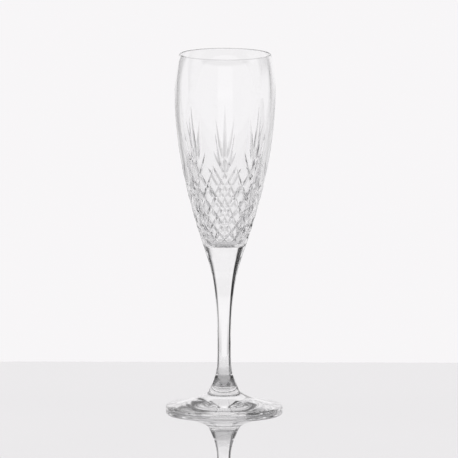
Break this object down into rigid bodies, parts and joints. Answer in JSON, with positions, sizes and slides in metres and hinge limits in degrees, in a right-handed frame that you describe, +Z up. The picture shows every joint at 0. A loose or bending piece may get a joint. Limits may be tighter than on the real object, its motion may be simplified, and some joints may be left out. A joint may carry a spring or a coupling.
{
  "type": "champagne flute",
  "caption": "Tall stemmed glass with a narrow tulip bowl cut in diamonds and leaf fans, a slender waisted stem and a round sloping foot.",
  "frame": {"origin": "centre of the ring that the foot stands on", "axes": "+Z up along the glass's axis, from the foot to the rim; a leaf fan faces -Y and every 45 degrees round from it"},
  "size_m": [0.0724, 0.0724, 0.2222],
  "materials": {
    "crystal": "polished clear lead crystal with polished cuts"
  },
  "bodies": {
    "root": {"bowl": "crystal", "stem": "crystal", "foot": "crystal"}
  },
  "joints": []
}
